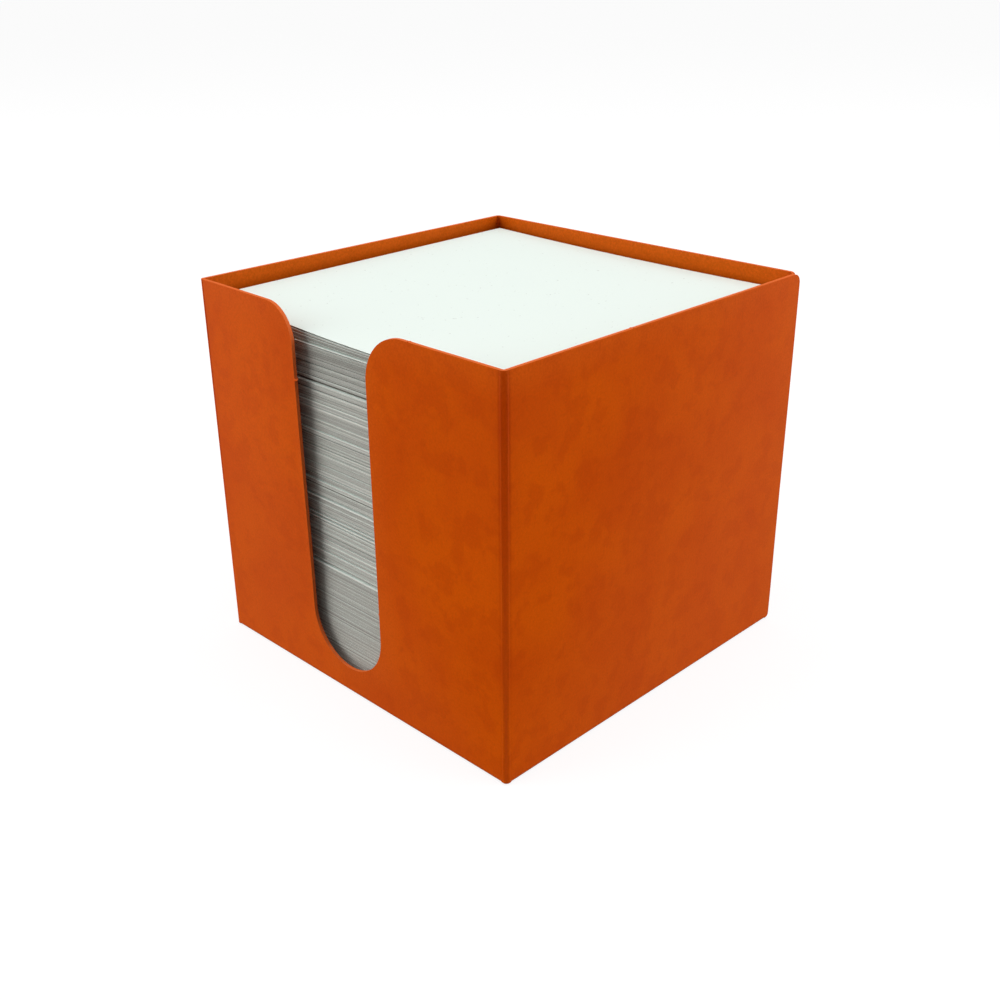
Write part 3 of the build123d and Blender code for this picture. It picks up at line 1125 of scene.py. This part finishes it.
def makePile():
    nodes = list(leafFile["packets"])
    boxes = [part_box(node) for node in nodes]
    fronts = [low.z for low, high in boxes]
    rears = [boxes[0][0].z] + [high.z for low, high in boxes]
    fronts.append(fronts[-1] + leafFile["leafThickness"])
    bodies = {"memo_leaves": ("refill", nodes[:5]), "loose_leaves": ("loose_packet", nodes[5:6]),
              "first_leaf": ("loose_leaf", nodes[6:])}
    for name, (body, members) in bodies.items():
        piece = bpy.data.objects.new(name, bpy.data.meshes.new(name))
        total = 0
        for node in members:
            at = nodes.index(node)
            total += addPacket(piece, node, (fronts[at], rears[at], fronts[at + 1], rears[at + 1]))
        bpy.context.scene.collection.objects.link(piece)
        settle(piece)
        for extra in ("leafNumber", "leafSlide", "leafTurn"):
            piece.data.attributes.remove(piece.data.attributes[extra])
        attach(piece, body)
        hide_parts(*members)
        print(name, "holds", total, "leaves,", len(piece.data.polygons), "faces")


makePile()


# The studio: a wide pale floor under a soft bright ceiling

studio = {
    "floorRadius": 30.0,
    "floorSides": 64,
    "floorDrop": 0.02 * mm,
    "floorColour": linear(112, 112, 112),
    "floorRoughness": 0.7,
    "floorGlow": 0.84,  # how far the floor is lit from below, as a light table is
    "floorShade": 0.2,
    "horizon": 0.05,
    "zenith": 2.85,
    "ceilingFocus": 8.0,
    "leftLampStrength": 11.4,
    "rightLampStrength": 10.8,
    "lampSize": 1.3,
    "lampDistance": 1.1,
    "lampHeight": 20,  # degrees above the floor
    "lampSwing": 86,  # degrees away from the camera
}


def makeFloor():
    mesh = bmesh.new()
    bmesh.ops.create_circle(mesh, cap_ends=True, segments=studio["floorSides"], radius=studio["floorRadius"])
    for vertex in mesh.verts:
        vertex.co.z = lowCorner.z - studio["floorDrop"]
    data = bpy.data.meshes.new("studioFloor")
    mesh.to_mesh(data)
    mesh.free()
    floorPiece = bpy.data.objects.new("studioFloor", data)
    bpy.context.scene.collection.objects.link(floorPiece)
    material, tree, shader = startMaterial("paleFloor", studio["floorRoughness"], shine=0.0)
    seen = tree.nodes.new("ShaderNodeLightPath").outputs["Is Camera Ray"]
    shade = [studio["floorShade"]] * 3 + [1.0]
    tree.links.new(blendColour(tree, seen, studio["floorColour"], shade), shader.inputs["Base Color"])
    tree.links.new(calc(tree, "MULTIPLY", seen, studio["floorGlow"]), shader.inputs["Emission Strength"])
    shader.inputs["Emission Color"].default_value = (1, 1, 1, 1)
    data.materials.append(material)


def lightStudio():
    scene = bpy.context.scene
    world = bpy.data.worlds.new("softCeiling")
    scene.world = world
    world.use_nodes = True
    tree = world.node_tree
    tree.nodes.clear()
    way = tree.nodes.new("ShaderNodeTexCoord").outputs["Generated"]
    lift = calc(tree, "MAXIMUM", addNode(tree, "ShaderNodeSeparateXYZ", {0: way}).outputs["Z"], 0.0)
    glow = calc(tree, "POWER", lift, studio["ceilingFocus"])
    glow = rescale(tree, glow, 0.0, 1.0, studio["horizon"], studio["zenith"])
    seen = tree.nodes.new("ShaderNodeLightPath").outputs["Is Camera Ray"]
    strength = rescale(tree, seen, 0.0, 1.0, glow, 1.0)
    background = addNode(tree, "ShaderNodeBackground", {"Color": (1, 1, 1, 1), "Strength": strength})
    output = tree.nodes.new("ShaderNodeOutputWorld")
    tree.links.new(background.outputs[0], output.inputs["Surface"])
    scene.view_settings.view_transform = "Standard"


def hangLamps():  # one broad round lamp each side of the holder
    for name, side in (("leftLamp", -1), ("rightLamp", 1)):
        data = bpy.data.lights.new(name, "AREA")
        data.shape = "DISK"
        data.size = studio["lampSize"]
        data.energy = studio[name + "Strength"]
        lamp = bpy.data.objects.new(name, data)
        aim = Vector((view["place"][0], view["place"][1], 0)).normalized()
        aim = Matrix.Rotation(radians(side * studio["lampSwing"]), 3, "Z") @ aim
        lift = radians(studio["lampHeight"])
        way = Vector((aim.x * cos(lift), aim.y * cos(lift), sin(lift)))
        lamp.location = way * studio["lampDistance"]
        lamp.rotation_euler = way.to_track_quat("Z", "Y").to_euler()
        lamp.visible_camera = False
        bpy.context.scene.collection.objects.link(lamp)


makeFloor()
lightStudio()
hangLamps()
print("studio lit")
